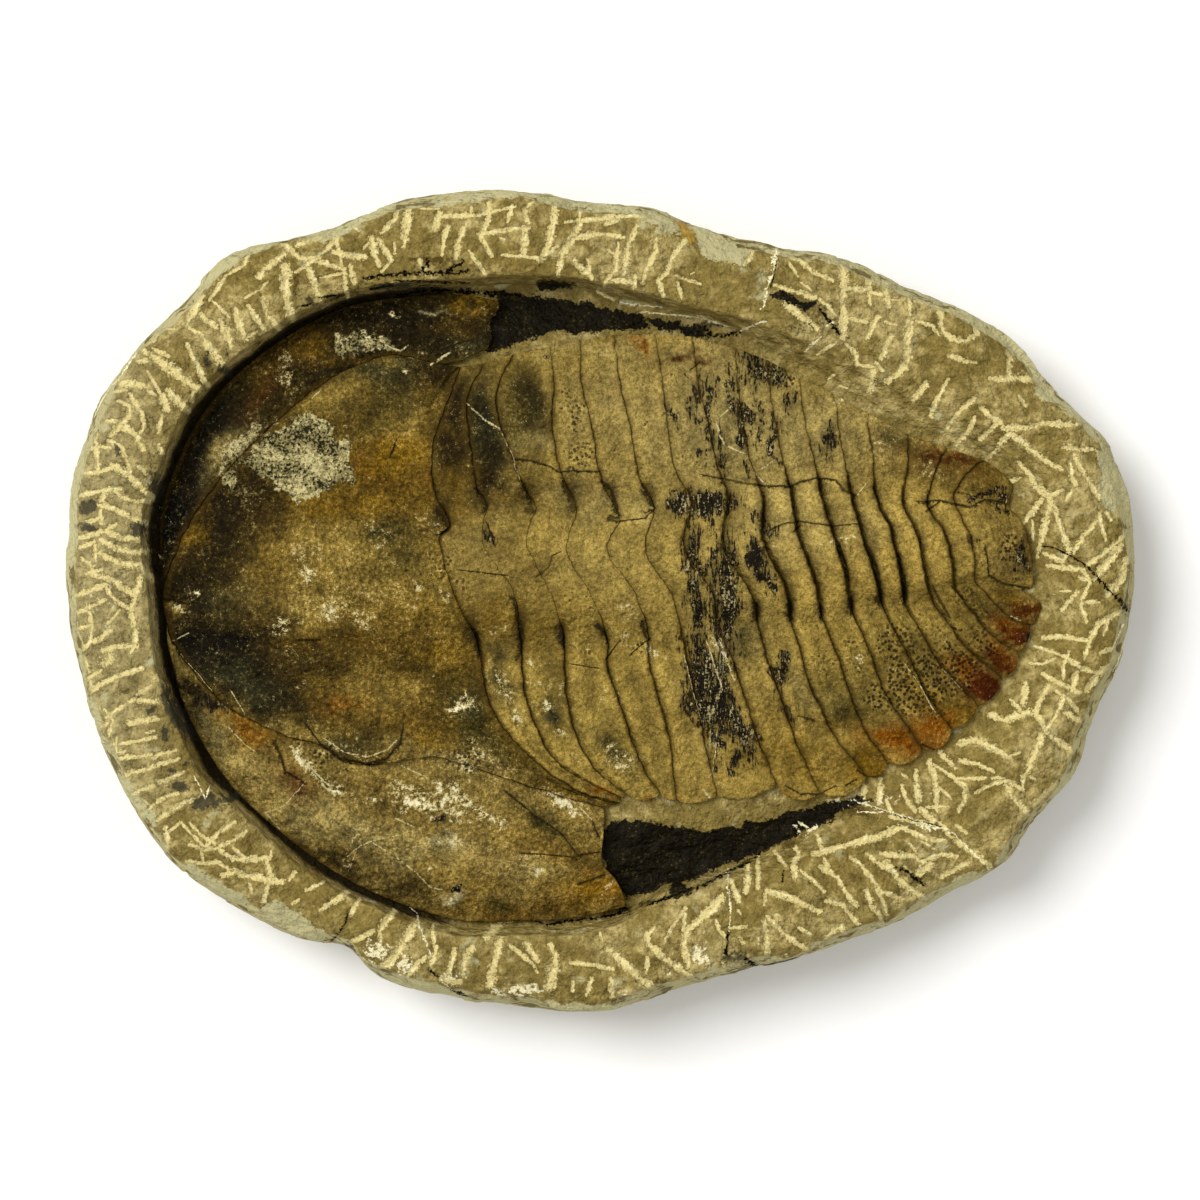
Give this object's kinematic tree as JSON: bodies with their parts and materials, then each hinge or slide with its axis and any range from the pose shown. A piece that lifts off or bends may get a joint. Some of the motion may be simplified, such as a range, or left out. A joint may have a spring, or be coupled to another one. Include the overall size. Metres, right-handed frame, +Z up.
{
  "type": "fossil trilobite in matrix",
  "caption": "Large olenellid-type fossil trilobite lying back up in the hollow of an egg-shaped block of pale rock, with a chisel-marked rim and a flat underside to rest on.",
  "frame": {"origin": "centre of the footprint on the flat underside", "axes": "+X from the head to the tail along the animal, +Y towards the animal's right side, +Z up"},
  "size_m": [0.322, 0.2476, 0.0405],
  "materials": {
    "matrix_rock": "matt pale olive-buff rock with cream chisel marks",
    "head_shell": "satin brown fossil shell with darker stains",
    "cheek_shell": "satin dark brown to ochre fossil shell",
    "body_shell": "satin tan fossil shell",
    "tail_shell": "satin tan to rusty fossil shell"
  },
  "bodies": {
    "root": {"matrix": "matrix_rock", "cranidium": "head_shell", "free_cheek_left": "cheek_shell", "free_cheek_right": "cheek_shell", "thoracic_segment_01": "body_shell", "thoracic_segment_02": "body_shell", "thoracic_segment_03": "body_shell", "thoracic_segment_04": "body_shell", "thoracic_segment_05": "body_shell", "thoracic_segment_06": "body_shell", "thoracic_segment_07": "body_shell", "thoracic_segment_08": "body_shell", "thoracic_segment_09": "body_shell", "thoracic_segment_10": "body_shell", "thoracic_segment_11": "body_shell", "thoracic_segment_12": "body_shell", "thoracic_segment_13": "body_shell", "thoracic_segment_14": "body_shell", "thoracic_segment_15": "body_shell", "pygidium": "tail_shell"}
  },
  "joints": []
}
